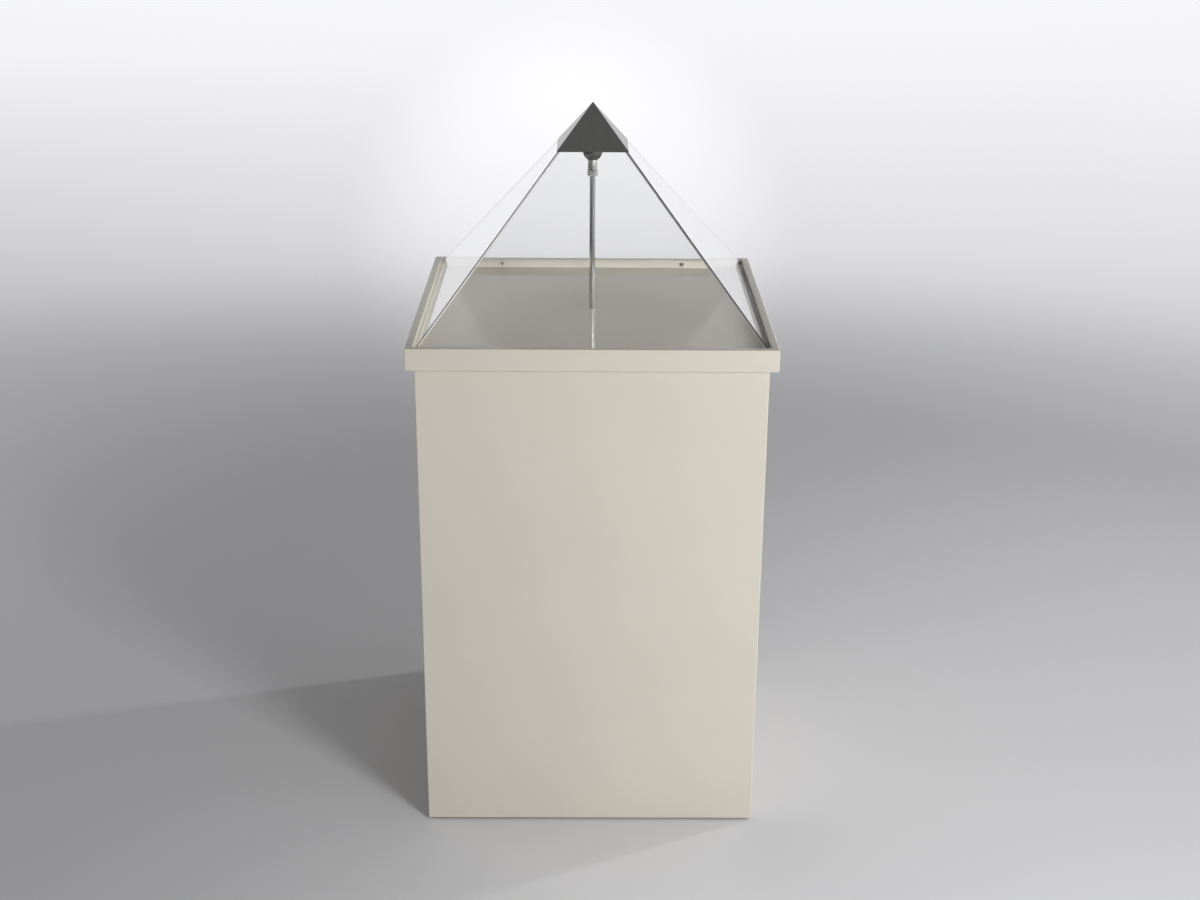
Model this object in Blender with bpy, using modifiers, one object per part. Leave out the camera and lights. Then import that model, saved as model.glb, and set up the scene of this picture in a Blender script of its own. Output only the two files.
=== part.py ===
"""Square display plinth with a lift-off clear pyramid hood.

Metres, +Z up. The plinth stands on z = 0 with its axis on the Z axis and its front facing -Y.
"""

import math

import bmesh
import bpy

# Fits
GAP = 0.0003
OVERCUT = 0.002

# Carcass
PLINTH_HEIGHT = 0.900
BODY_WIDTH = 0.5864
WALL_THICKNESS = 0.015
BATTEN_SIZE = 0.030
RAIL_THICKNESS = 0.022
RAIL_HEIGHT = 0.040
GLIDE_HEIGHT = 0.003
GLIDE_DIAMETER = 0.025
GLIDE_EDGE = 0.0008
GLIDE_PIN_DIAMETER = 0.005
GLIDE_PIN_LENGTH = 0.015

# Deck and rim
DECK_RECESS = 0.018
DECK_THICKNESS = 0.015
RIM_LAP = 0.005
RIM_THICKNESS = 0.014
RIM_EDGE_RADIUS = 0.0015
DECK_SCREW_DIAMETER = 0.004
DECK_SCREW_HEAD_DIAMETER = 0.008
DECK_SCREW_BITE = 0.010
DECK_SCREW_POINT = 0.005
DECK_SCREW_SPACING = 0.300

# Set screws through the back rim
SET_SCREW_SPACING = 0.352
SET_SCREW_DROP = 0.010
SET_SCREW_DIAMETER = 0.006
SET_SCREW_POINT_DIAMETER = 0.004
SET_SCREW_SINK = 0.001
SET_SCREW_EDGE = 0.0004
SOCKET_ACROSS_FLATS = 0.003
SOCKET_DEPTH = 0.004
INSERT_DIAMETER = 0.008

# Hood
HOOD_CLEARANCE = 0.001
ACRYLIC_THICKNESS = 0.005
PANEL_DROP = 0.006
HOOD_RISE = 0.350
PANEL_TOP_DROP = 0.025
CAP_HEIGHT = 0.0754
CAP_SHEET = 0.0012
APEX_BLOCK_HEIGHT = 0.040

# Post under the deck and up to its head
POST_DIAMETER = 0.010
POST_EDGE = 0.0008
SPIGOT_DIAMETER = 0.008
SPIGOT_REST = 0.004
WASHER_DIAMETER = 0.024
WASHER_THICKNESS = 0.002
POST_NUT_ACROSS_FLATS = 0.013
POST_NUT_HEIGHT = 0.0065

# Head on the post
HEAD_TRAVEL = 0.030
PAD_DIAMETER = 0.028
PAD_THICKNESS = 0.003
BELL_DIAMETER = 0.0344
BELL_FOOT_DIAMETER = 0.0176
BELL_HEIGHT = 0.022
BELL_LIP_HEIGHT = 0.007
BELL_CROWN = 0.0035
BELL_EDGE = 0.0008
SLEEVE_DIAMETER = 0.017
SLEEVE_HEIGHT = 0.017
SLEEVE_EDGE = 0.0006
SLEEVE_TAIL_DIAMETER = 0.013
SLEEVE_SPIGOT_LENGTH = 0.008
CLAMP_NUT_ACROSS_FLATS = 0.016
CLAMP_NUT_HEIGHT = 0.011
CLAMP_NUT_FLOOR = 0.0022
COLLET_HEIGHT = 0.0025

# Facets round turned pieces
FINE_STEPS = 40
PLAIN_STEPS = 16
BELL_ARC_STEPS = 8
SCREW_MERGE = 0.00001
EDGE_SEGMENTS = 3

# Plinth levels and half widths
RIM_TOP = PLINTH_HEIGHT
DECK_TOP = RIM_TOP - DECK_RECESS
DECK_BOTTOM = DECK_TOP - DECK_THICKNESS
RIM_BOTTOM = DECK_BOTTOM - RIM_LAP
WALL_TOP = DECK_BOTTOM - GAP
WALL_BOTTOM = GLIDE_HEIGHT
BODY_HALF = BODY_WIDTH / 2.0
CARCASS_HALF = BODY_HALF - WALL_THICKNESS - GAP
BATTEN_CENTRE = CARCASS_HALF - BATTEN_SIZE / 2.0
RAIL_LENGTH = 2.0 * (CARCASS_HALF - BATTEN_SIZE - GAP)
RIM_INNER = BODY_HALF + GAP
RIM_OUTER = RIM_INNER + RIM_THICKNESS
SET_SCREW_HEIGHT = RIM_TOP - SET_SCREW_DROP

# Hood levels: its outer faces would meet at HOOD_POINT
HOOD_HALF = RIM_INNER - HOOD_CLEARANCE
PANEL_BOTTOM = RIM_TOP - PANEL_DROP
SKIRT_BOTTOM = DECK_TOP + GAP
SKIRT_HEIGHT = PANEL_BOTTOM - GAP - SKIRT_BOTTOM
HOOD_POINT = RIM_TOP + HOOD_RISE
PANEL_TOP = HOOD_POINT - PANEL_TOP_DROP
PANEL_RUN = HOOD_HALF / (HOOD_POINT - PANEL_BOTTOM)
PANEL_SLANT = math.hypot(1.0, PANEL_RUN)
CAP_POINT = HOOD_POINT + (GAP + CAP_SHEET) * PANEL_SLANT / PANEL_RUN
CAP_BOTTOM = CAP_POINT - CAP_HEIGHT

# Head levels, worked down from the apex block that it carries
BORE_RADIUS = POST_DIAMETER / 2.0 + GAP
PAD_BOTTOM = CAP_BOTTOM - GAP - PAD_THICKNESS
BELL_TOP = PAD_BOTTOM - GAP
BELL_BOTTOM = BELL_TOP - BELL_HEIGHT
SLEEVE_TOP = BELL_BOTTOM - GAP
SLEEVE_BOTTOM = SLEEVE_TOP - SLEEVE_HEIGHT
CLAMP_NUT_TOP = SLEEVE_BOTTOM - GAP
CLAMP_NUT_BOTTOM = CLAMP_NUT_TOP - CLAMP_NUT_HEIGHT
COLLET_BOTTOM = CLAMP_NUT_BOTTOM + CLAMP_NUT_FLOOR + GAP
TAIL_BOTTOM = COLLET_BOTTOM + COLLET_HEIGHT + GAP
BORE_TOP = BELL_TOP - BELL_CROWN
POST_TOP = BORE_TOP - HEAD_TRAVEL - GAP

# Post levels under the deck
POST_SHOULDER = DECK_TOP + GAP
WASHER_TOP = DECK_BOTTOM - GAP
POST_NUT_TOP = WASHER_TOP - WASHER_THICKNESS - GAP
POST_BOTTOM = POST_NUT_TOP - POST_NUT_HEIGHT - SPIGOT_REST

# The sides a quarter turn apart from the front, the corners, and the two ends of a side
SIDES = ("front", "right", "back", "left")
CORNERS = ("front_left", "front_right", "back_left", "back_right")
HANDS = ("left", "right")


def clear_scene():
    for obj in list(bpy.data.objects):
        bpy.data.objects.remove(obj, do_unlink=True)


def new_collection(name):
    collection = bpy.data.collections.new(name)
    bpy.context.scene.collection.children.link(collection)
    return collection


def finish_material(name, colour, roughness, metallic=0.0, clear=0.0):
    material = bpy.data.materials.new(name)
    material.use_nodes = True
    shader = material.node_tree.nodes["Principled BSDF"]
    shader.inputs["Base Color"].default_value = (*colour, 1.0)
    shader.inputs["Roughness"].default_value = roughness
    shader.inputs["Metallic"].default_value = metallic
    shader.inputs["Transmission Weight"].default_value = clear
    shader.inputs["IOR"].default_value = 1.49
    return material


clear_scene()
PARTS = new_collection("pyramid_display_plinth")
CUTTERS = new_collection("cutters")

PAINT = finish_material("cream_paint", (0.58, 0.54, 0.47), 0.45)
DECK_PAINT = finish_material("deck_paint", (0.36, 0.33, 0.30), 0.22)
SOFTWOOD = finish_material("softwood", (0.55, 0.38, 0.22), 0.7)
NYLON = finish_material("nylon", (0.05, 0.05, 0.05), 0.5)
STEEL = finish_material("zinc_steel", (0.45, 0.45, 0.44), 0.35, metallic=1.0)
BRASS = finish_material("brass", (0.60, 0.46, 0.20), 0.35, metallic=1.0)
CHROME = finish_material("chrome", (0.55, 0.55, 0.55), 0.08, metallic=1.0)
NICKEL = finish_material("satin_nickel", (0.62, 0.60, 0.57), 0.28, metallic=1.0)
DARK_METAL = finish_material("dark_polished_metal", (0.09, 0.09, 0.085), 0.15, metallic=1.0)
ACRYLIC = finish_material("clear_acrylic", (0.98, 0.99, 0.99), 0.02, clear=1.0)
BLACK_ACRYLIC = finish_material("black_acrylic", (0.02, 0.02, 0.02), 0.25)
RUBBER = finish_material("rubber", (0.03, 0.03, 0.03), 0.7)


def add_object(name, mesh, material=None):
    """Links a part, or a cutter where there is no material."""
    obj = bpy.data.objects.new(name, mesh)
    if material is None:
        CUTTERS.objects.link(obj)
        obj.hide_render = True
        obj.display_type = "WIRE"
        return obj
    PARTS.objects.link(obj)
    if not mesh.materials:
        mesh.materials.append(material)
    return obj


def add_pivot(name, height, parent=None):
    """An empty on the plinth's axis, at a world height."""
    pivot = bpy.data.objects.new(name, None)
    PARTS.objects.link(pivot)
    pivot.location.z = height
    hang(pivot, parent)
    return pivot


def hang(obj, parent):
    """Parents an object on the axis to a pivot and keeps its world height."""
    if parent is None:
        return
    obj.parent = parent
    above = parent
    while above is not None:
        obj.location.z -= above.location.z
        above = above.parent


def facing(side):
    """The turn about Z that takes the front to this side."""
    return SIDES.index(side) * math.pi / 2.0


def across(place):
    """The sign of a left or right place along X, seen from the front."""
    return -1.0 if place.endswith("left") else 1.0


def along(place):
    """The sign of a front or back place along Y."""
    return -1.0 if place.startswith("front") else 1.0


def cut(obj, cutter, operation="DIFFERENCE"):
    modifier = obj.modifiers.new(cutter.name, "BOOLEAN")
    modifier.operation = operation
    modifier.object = cutter


def mesh_from(bm, name):
    mesh = bpy.data.meshes.new(name)
    bm.to_mesh(mesh)
    bm.free()
    return mesh


def box_mesh(name, size, centre):
    bm = bmesh.new()
    bmesh.ops.create_cube(bm, size=1.0)
    bmesh.ops.scale(bm, vec=size, verts=bm.verts)
    bmesh.ops.translate(bm, vec=centre, verts=bm.verts)
    return mesh_from(bm, name)


def mitred_mesh(name, height, outer_low, outer_high, depth):
    """A board facing -Y from z = 0, its ends mitred on the diagonals of the square it closes.

    outer_low and outer_high are the distances from the axis to its outer face at its lower and
    upper edge, and depth is its thickness measured level.
    """
    setback = GAP / math.sqrt(2.0)
    bm = bmesh.new()
    bmesh.ops.create_cube(bm, size=1.0)
    for vert in bm.verts:
        is_high = vert.co.z > 0.0
        is_inner = vert.co.y > 0.0
        reach = (outer_high if is_high else outer_low) - depth * is_inner
        half_length = math.copysign(reach - setback, vert.co.x)
        vert.co = (half_length, -reach, height * is_high)
    return mesh_from(bm, name)


def prism_mesh(name, sides, low_radius, high_radius, height, turn=0.0):
    """A prism, pyramid or frustum standing on z = 0."""
    bm = bmesh.new()
    bmesh.ops.create_cone(
        bm,
        cap_ends=True,
        segments=sides,
        radius1=low_radius,
        radius2=high_radius,
        depth=height,
    )
    bmesh.ops.translate(bm, vec=(0.0, 0.0, height / 2.0), verts=bm.verts)
    for vert in bm.verts:
        x, y = vert.co.x, vert.co.y
        vert.co.x = x * math.cos(turn) - y * math.sin(turn)
        vert.co.y = x * math.sin(turn) + y * math.cos(turn)
    return mesh_from(bm, name)


def square_mesh(name, low_half, high_half, height):
    """A square pyramid or frustum with its sides facing the axes."""
    corner = math.sqrt(2.0)
    return prism_mesh(name, 4, low_half * corner, high_half * corner, height, math.pi / 4.0)


def hexagon_mesh(name, across_flats, height):
    """A hexagon prism with two of its flats facing -Y and +Y."""
    radius = across_flats / math.sqrt(3.0)
    return prism_mesh(name, 6, radius, radius, height, math.pi / 6.0)


def turned(name, profile, material=None, steps=FINE_STEPS):
    """Turns a profile of (radius, z) points about Z. A profile that starts off the axis is a ring."""
    bm = bmesh.new()
    verts = [bm.verts.new((radius, 0.0, height)) for radius, height in profile]
    is_ring = profile[0][0] > 0.0
    followers = verts[1:] + verts[:1] if is_ring else verts[1:]
    for first, second in zip(verts, followers):
        bm.edges.new((first, second))
    obj = add_object(name, mesh_from(bm, name), material)
    screw = obj.modifiers.new("turn", "SCREW")
    screw.axis = "Z"
    screw.steps = steps
    screw.render_steps = steps
    screw.use_merge_vertices = True
    screw.merge_threshold = SCREW_MERGE
    screw.use_smooth_shade = True
    return obj


def tube_profile(outer_radius, inner_radius, bottom, top):
    return [
        (outer_radius, top),
        (outer_radius, bottom),
        (inner_radius, bottom),
        (inner_radius, top),
    ]


def rod_profile(radius, bottom, top, edge=0.0):
    return [
        (0.0, top),
        (radius - edge, top),
        (radius, top - edge),
        (radius, bottom + edge),
        (radius - edge, bottom),
        (0.0, bottom),
    ]


def cylinder_profile(radius, bottom, top):
    return [(0.0, top), (radius, top), (radius, bottom), (0.0, bottom)]


def four_sides(prefix, mesh, material, height, parent=None):
    """One object on each side of the square, all sharing the front one's mesh."""
    made = {}
    for side in SIDES:
        obj = add_object(f"{prefix}_{side}", mesh, material)
        obj.location.z = height
        obj.rotation_euler.z = facing(side)
        hang(obj, parent)
        made[side] = obj
    return made


def round_long_edges(boards, radius):
    """Rounds a mitred board's edges along its length, and leaves its mitres sharp."""
    mesh = boards["front"].data
    weights = mesh.attributes.new("bevel_weight_edge", "FLOAT", "EDGE")
    for edge in mesh.edges:
        first, second = (mesh.vertices[index].co for index in edge.vertices)
        weights.data[edge.index].value = float(first.x * second.x < 0.0)
    for board in boards.values():
        bevel = board.modifiers.new("round", "BEVEL")
        bevel.limit_method = "WEIGHT"
        bevel.width = radius
        bevel.segments = EDGE_SEGMENTS


def inside_hood(height, inset):
    """Distance from the axis to the hood's sloping face, set in square to the face."""
    return PANEL_RUN * (HOOD_POINT - height) - inset * PANEL_SLANT


def build_walls():
    height = WALL_TOP - WALL_BOTTOM
    mesh = mitred_mesh("wall", height, BODY_HALF, BODY_HALF, WALL_THICKNESS)
    four_sides("wall", mesh, PAINT, WALL_BOTTOM)


def build_battens():
    """Square battens in the corners, each standing on a glide with a pin driven up into it."""
    height = WALL_TOP - WALL_BOTTOM
    batten_mesh = box_mesh("batten", (BATTEN_SIZE, BATTEN_SIZE, height), (0.0, 0.0, height / 2.0))
    disc_radius = GLIDE_DIAMETER / 2.0
    disc_top = GLIDE_HEIGHT - GAP
    pin_radius = GLIDE_PIN_DIAMETER / 2.0
    pin_top = disc_top + GLIDE_PIN_LENGTH
    glide_profile = [
        (0.0, pin_top),
        (pin_radius, pin_top),
        (pin_radius, disc_top),
        (disc_radius, disc_top),
        (disc_radius, GLIDE_EDGE),
        (disc_radius - GLIDE_EDGE, 0.0),
        (0.0, 0.0),
    ]
    hole_profile = cylinder_profile(pin_radius + GAP, disc_top - OVERCUT, pin_top + GAP)
    for corner in CORNERS:
        place = (across(corner) * BATTEN_CENTRE, along(corner) * BATTEN_CENTRE, 0.0)
        batten = add_object(f"corner_batten_{corner}", batten_mesh, SOFTWOOD)
        batten.location = (place[0], place[1], WALL_BOTTOM)
        glide = turned(f"foot_glide_{corner}", glide_profile, NYLON, PLAIN_STEPS)
        glide.location = place
        hole = turned(f"glide_hole_{corner}", hole_profile, steps=PLAIN_STEPS)
        hole.location = place
        cut(batten, hole)


def build_rails():
    """Rails against the walls, between the battens, at the foot and under the deck."""
    offset = -(CARCASS_HALF - RAIL_THICKNESS / 2.0)
    size = (RAIL_LENGTH, RAIL_THICKNESS, RAIL_HEIGHT)
    mesh = box_mesh("rail", size, (0.0, offset, RAIL_HEIGHT / 2.0))
    four_sides("base_rail", mesh, SOFTWOOD, WALL_BOTTOM)
    return four_sides("deck_rail", mesh, SOFTWOOD, WALL_TOP - RAIL_HEIGHT)


def deck_screw_profile(clearance=0.0):
    """A countersunk screw standing head down on z = 0, open at its head, with a clearance all round."""
    shank = DECK_SCREW_DIAMETER / 2.0
    head = DECK_SCREW_HEAD_DIAMETER / 2.0
    tip = RAIL_HEIGHT + GAP + DECK_SCREW_BITE
    return [
        (0.0, tip + clearance),
        (shank / 2.0 + clearance, tip + clearance),
        (shank + clearance, tip - DECK_SCREW_POINT),
        (shank + clearance, head - shank),
        (head + clearance, 0.0),
    ]


def build_deck(deck_rails):
    size = (BODY_WIDTH, BODY_WIDTH, DECK_THICKNESS)
    deck = add_object("deck_board", box_mesh("deck_board", size, (0.0, 0.0, 0.0)), DECK_PAINT)
    deck.location.z = DECK_BOTTOM + DECK_THICKNESS / 2.0
    hole_radius = SPIGOT_DIAMETER / 2.0 + GAP
    post_hole_profile = cylinder_profile(hole_radius, DECK_BOTTOM - OVERCUT, DECK_TOP + OVERCUT)
    cut(deck, turned("post_hole", post_hole_profile, steps=PLAIN_STEPS))
    screw_profile = deck_screw_profile() + [(0.0, 0.0)]
    mouth_radius = DECK_SCREW_HEAD_DIAMETER / 2.0 + GAP
    hole_profile = deck_screw_profile(GAP) + [(mouth_radius, -OVERCUT), (0.0, -OVERCUT)]
    out = CARCASS_HALF - RAIL_THICKNESS / 2.0
    for side in SIDES:
        angle = facing(side)
        for hand in HANDS:
            offset = across(hand) * DECK_SCREW_SPACING / 2.0
            x = offset * math.cos(angle) + out * math.sin(angle)
            y = offset * math.sin(angle) - out * math.cos(angle)
            screw = turned(f"deck_screw_{side}_{hand}", screw_profile, STEEL, PLAIN_STEPS)
            hole = turned(f"deck_screw_hole_{side}_{hand}", hole_profile, steps=PLAIN_STEPS)
            screw.location = (x, y, WALL_TOP - RAIL_HEIGHT)
            hole.location = screw.location
            cut(deck_rails[side], hole)
            cut(deck, hole)


def build_rim():
    height = RIM_TOP - RIM_BOTTOM
    mesh = mitred_mesh("rim", height, RIM_OUTER, RIM_OUTER, RIM_THICKNESS)
    rims = four_sides("rim", mesh, PAINT, RIM_BOTTOM)
    round_long_edges(rims, RIM_EDGE_RADIUS)
    return rims["back"]


def build_set_screws(back_rim):
    """Socket set screws in inserts through the back rim, with their points against the hood skirt."""
    insert_radius = INSERT_DIAMETER / 2.0
    radius = SET_SCREW_DIAMETER / 2.0
    point_radius = SET_SCREW_POINT_DIAMETER / 2.0
    insert_profile = tube_profile(insert_radius, radius + GAP, 0.0, RIM_THICKNESS)
    hole_profile = cylinder_profile(insert_radius + GAP, -OVERCUT, RIM_THICKNESS + OVERCUT)
    length = RIM_OUTER - SET_SCREW_SINK - HOOD_HALF - GAP
    screw_profile = [
        (0.0, length),
        (point_radius, length),
        (radius, length - (radius - point_radius)),
        (radius, SET_SCREW_EDGE),
        (radius - SET_SCREW_EDGE, 0.0),
        (0.0, 0.0),
    ]
    socket_mesh = hexagon_mesh("set_screw_socket", SOCKET_ACROSS_FLATS, SOCKET_DEPTH + OVERCUT)
    for hand in HANDS:
        x = across(hand) * SET_SCREW_SPACING / 2.0
        face = (x, RIM_OUTER, SET_SCREW_HEIGHT)
        sunk = (x, RIM_OUTER - SET_SCREW_SINK, SET_SCREW_HEIGHT)
        insert = turned(f"screw_insert_{hand}", insert_profile, BRASS, PLAIN_STEPS)
        hole = turned(f"insert_hole_{hand}", hole_profile, steps=PLAIN_STEPS)
        screw = turned(f"set_screw_{hand}", screw_profile, STEEL, PLAIN_STEPS)
        socket = add_object(f"socket_{hand}", socket_mesh)
        insert.location = face
        hole.location = face
        screw.location = sunk
        socket.location = (x, sunk[1] + OVERCUT, SET_SCREW_HEIGHT)
        for obj in (insert, hole, screw, socket):
            obj.rotation_euler.x = math.pi / 2.0
        cut(back_rim, hole)
        cut(screw, socket)


def build_hood(pivot):
    """Four sloping panels on four upright skirts, a sheet cap over the tip and a block inside it."""
    skirt_mesh = mitred_mesh("hood_skirt", SKIRT_HEIGHT, HOOD_HALF, HOOD_HALF, ACRYLIC_THICKNESS)
    four_sides("hood_skirt", skirt_mesh, ACRYLIC, SKIRT_BOTTOM, pivot)
    panel_mesh = mitred_mesh(
        "hood_panel",
        PANEL_TOP - PANEL_BOTTOM,
        HOOD_HALF,
        inside_hood(PANEL_TOP, 0.0),
        ACRYLIC_THICKNESS * PANEL_SLANT,
    )
    four_sides("hood_panel", panel_mesh, ACRYLIC, PANEL_BOTTOM, pivot)

    outer_half = PANEL_RUN * CAP_HEIGHT
    cap = add_object("apex_cap", square_mesh("apex_cap", outer_half, 0.0, CAP_HEIGHT), DARK_METAL)
    cap.location.z = CAP_BOTTOM
    hang(cap, pivot)
    inner_bottom = CAP_BOTTOM - OVERCUT
    inner_half = inside_hood(inner_bottom, -GAP)
    inner_mesh = square_mesh("cap_inside", inner_half, 0.0, inner_half / PANEL_RUN)
    cap_inside = add_object("cap_inside", inner_mesh)
    cap_inside.location.z = inner_bottom
    cut(cap, cap_inside)

    block_inset = ACRYLIC_THICKNESS + GAP
    block_low = inside_hood(CAP_BOTTOM, block_inset)
    block_high = inside_hood(CAP_BOTTOM + APEX_BLOCK_HEIGHT, block_inset)
    block_mesh = square_mesh("apex_block", block_low, block_high, APEX_BLOCK_HEIGHT)
    block = add_object("apex_block", block_mesh, BLACK_ACRYLIC)
    block.location.z = CAP_BOTTOM
    hang(block, pivot)


def build_post():
    """A rod shouldered on the deck, drawn down by a washer and nut on its spigot."""
    radius = POST_DIAMETER / 2.0
    spigot = SPIGOT_DIAMETER / 2.0
    profile = [
        (0.0, POST_TOP),
        (radius - POST_EDGE, POST_TOP),
        (radius, POST_TOP - POST_EDGE),
        (radius, POST_SHOULDER),
        (spigot, POST_SHOULDER),
        (spigot, POST_BOTTOM + POST_EDGE),
        (spigot - POST_EDGE, POST_BOTTOM),
        (0.0, POST_BOTTOM),
    ]
    turned("post_rod", profile, CHROME)
    washer_profile = tube_profile(
        WASHER_DIAMETER / 2.0, spigot + GAP, WASHER_TOP - WASHER_THICKNESS, WASHER_TOP
    )
    turned("post_washer", washer_profile, STEEL)
    nut_mesh = hexagon_mesh("post_nut", POST_NUT_ACROSS_FLATS, POST_NUT_HEIGHT)
    nut = add_object("post_nut", nut_mesh, STEEL)
    nut.location.z = POST_NUT_TOP - POST_NUT_HEIGHT
    chamfer_nut(nut, POST_NUT_ACROSS_FLATS, POST_NUT_TOP - POST_NUT_HEIGHT, POST_NUT_TOP)
    bore_profile = cylinder_profile(
        spigot + GAP, POST_NUT_TOP - POST_NUT_HEIGHT - OVERCUT, POST_NUT_TOP + OVERCUT
    )
    cut(nut, turned("post_nut_bore", bore_profile))


def chamfer_nut(nut, across_flats, bottom, top):
    """Turns down a hexagon's corners at both ends, to a circle just inside its flats."""
    corner_radius = across_flats / math.sqrt(3.0) + GAP
    end_radius = across_flats / 2.0 - GAP
    drop = (corner_radius - end_radius) / 2.0
    profile = [
        (0.0, top),
        (end_radius, top),
        (corner_radius, top - drop),
        (corner_radius, bottom + drop),
        (end_radius, bottom),
        (0.0, bottom),
    ]
    cut(nut, turned(f"{nut.name}_chamfer", profile), "INTERSECT")


def bell_profile():
    """A bell with a straight lip and a round shoulder, bored from below for the sleeve and post."""
    lip = BELL_DIAMETER / 2.0
    foot = BELL_FOOT_DIAMETER / 2.0
    socket = SLEEVE_TAIL_DIAMETER / 2.0 + GAP
    socket_top = SLEEVE_TOP + SLEEVE_SPIGOT_LENGTH + GAP
    shoulder_top = BELL_TOP - BELL_LIP_HEIGHT
    drop = shoulder_top - BELL_BOTTOM
    inset = lip - foot
    arc_radius = (inset**2 + drop**2) / (2.0 * inset)
    arc_end = math.asin(drop / arc_radius)
    profile = [(0.0, BELL_TOP), (lip - BELL_EDGE, BELL_TOP), (lip, BELL_TOP - BELL_EDGE)]
    for step in range(BELL_ARC_STEPS + 1):
        angle = arc_end * step / BELL_ARC_STEPS
        radius = lip - arc_radius * (1.0 - math.cos(angle))
        profile.append((radius, shoulder_top - arc_radius * math.sin(angle)))
    profile += [
        (socket, BELL_BOTTOM),
        (socket, socket_top),
        (BORE_RADIUS, socket_top),
        (BORE_RADIUS, BORE_TOP),
        (0.0, BORE_TOP),
    ]
    return profile


def sleeve_profile():
    """A collar with a spigot up into the bell and a tail down into the clamp nut."""
    outer = SLEEVE_DIAMETER / 2.0
    tail = SLEEVE_TAIL_DIAMETER / 2.0
    spigot_top = SLEEVE_TOP + SLEEVE_SPIGOT_LENGTH
    return [
        (tail, spigot_top),
        (tail, SLEEVE_TOP),
        (outer - SLEEVE_EDGE, SLEEVE_TOP),
        (outer, SLEEVE_TOP - SLEEVE_EDGE),
        (outer, SLEEVE_BOTTOM + SLEEVE_EDGE),
        (outer - SLEEVE_EDGE, SLEEVE_BOTTOM),
        (tail, SLEEVE_BOTTOM),
        (tail, TAIL_BOTTOM),
        (BORE_RADIUS, TAIL_BOTTOM),
        (BORE_RADIUS, spigot_top),
    ]


def build_head(pivot):
    """The bell and pad under the apex block, on a sleeve that a collet holds to the post."""
    pad_profile = rod_profile(PAD_DIAMETER / 2.0, PAD_BOTTOM, PAD_BOTTOM + PAD_THICKNESS, GAP)
    collet_profile = tube_profile(
        SLEEVE_TAIL_DIAMETER / 2.0, BORE_RADIUS, COLLET_BOTTOM, COLLET_BOTTOM + COLLET_HEIGHT
    )
    hang(turned("bell_seat", bell_profile(), DARK_METAL), pivot)
    hang(turned("seat_pad", pad_profile, RUBBER), pivot)
    hang(turned("head_sleeve", sleeve_profile(), NICKEL), pivot)
    hang(turned("clamp_collet", collet_profile, NYLON), pivot)


def build_clamp_nut(pivot):
    """A hexagon nut that draws the collet up against the sleeve's tail."""
    nut_mesh = hexagon_mesh("clamp_nut", CLAMP_NUT_ACROSS_FLATS, CLAMP_NUT_HEIGHT)
    nut = add_object("clamp_nut", nut_mesh, NICKEL)
    nut.location.z = CLAMP_NUT_BOTTOM
    hang(nut, pivot)
    chamfer_nut(nut, CLAMP_NUT_ACROSS_FLATS, CLAMP_NUT_BOTTOM, CLAMP_NUT_TOP)
    thread_radius = SLEEVE_TAIL_DIAMETER / 2.0 + GAP
    floor_top = CLAMP_NUT_BOTTOM + CLAMP_NUT_FLOOR
    bore_profile = [
        (0.0, CLAMP_NUT_TOP + OVERCUT),
        (thread_radius, CLAMP_NUT_TOP + OVERCUT),
        (thread_radius, floor_top),
        (BORE_RADIUS, floor_top),
        (BORE_RADIUS, CLAMP_NUT_BOTTOM - OVERCUT),
        (0.0, CLAMP_NUT_BOTTOM - OVERCUT),
    ]
    cut(nut, turned("clamp_nut_bore", bore_profile))


def main():
    build_walls()
    build_battens()
    deck_rails = build_rails()
    build_deck(deck_rails)
    back_rim = build_rim()
    build_set_screws(back_rim)
    build_post()
    build_hood(add_pivot("hood_pivot", SKIRT_BOTTOM))
    head_pivot = add_pivot("head_pivot", CLAMP_NUT_TOP)
    build_head(head_pivot)
    build_clamp_nut(add_pivot("nut_pivot", CLAMP_NUT_BOTTOM, head_pivot))


main()
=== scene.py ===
"""Looks of a square display plinth with a clear pyramid hood.

Metres, +Z up, front facing -Y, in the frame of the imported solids.
"""

import math
from collections import namedtuple

import bmesh
import bpy
from mathutils import Matrix, Vector


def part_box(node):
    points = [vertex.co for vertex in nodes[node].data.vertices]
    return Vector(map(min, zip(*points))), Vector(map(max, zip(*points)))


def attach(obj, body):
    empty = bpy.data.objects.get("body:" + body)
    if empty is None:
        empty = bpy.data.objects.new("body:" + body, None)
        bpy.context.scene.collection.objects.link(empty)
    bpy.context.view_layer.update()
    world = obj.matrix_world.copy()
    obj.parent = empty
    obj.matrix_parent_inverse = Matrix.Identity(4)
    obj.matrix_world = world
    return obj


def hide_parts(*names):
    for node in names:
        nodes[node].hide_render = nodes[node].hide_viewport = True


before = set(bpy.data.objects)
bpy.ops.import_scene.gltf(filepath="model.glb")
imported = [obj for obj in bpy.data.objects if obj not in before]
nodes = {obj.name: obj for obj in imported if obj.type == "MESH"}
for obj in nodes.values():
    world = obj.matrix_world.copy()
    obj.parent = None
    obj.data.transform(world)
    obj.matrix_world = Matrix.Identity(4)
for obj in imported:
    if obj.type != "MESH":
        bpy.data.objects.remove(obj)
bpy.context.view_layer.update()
scene = bpy.context.scene

SIDES = ("front", "right", "back", "left")
CORNERS = ("front_left", "front_right", "back_left", "back_right")
HANDS = ("left", "right")

# Camera, fitted to the edges of the rim, body and hood in the photograph
CAMERA_PLACE = (-0.0066, -2.9443, 1.7175)
CAMERA_PITCH = math.radians(20.615)
CAMERA_YAW = math.radians(0.447)
CAMERA_ROLL = math.radians(0.401)
CAMERA_FOCAL_PIXELS = 1691.5
PHOTO_WIDTH_PIXELS = 1200.0
SENSOR_WIDTH = 36.0

# Round floor that fades out into the world
FLOOR_RADIUS = 7.0
FLOOR_SEGMENTS = 96
FLOOR_FADE_START = 1.0
FLOOR_FADE_END = 4.2
FLOOR_COLOUR = (0.76, 0.76, 0.78, 1.0)
WHITE = (1.0, 1.0, 1.0, 1.0)

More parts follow.
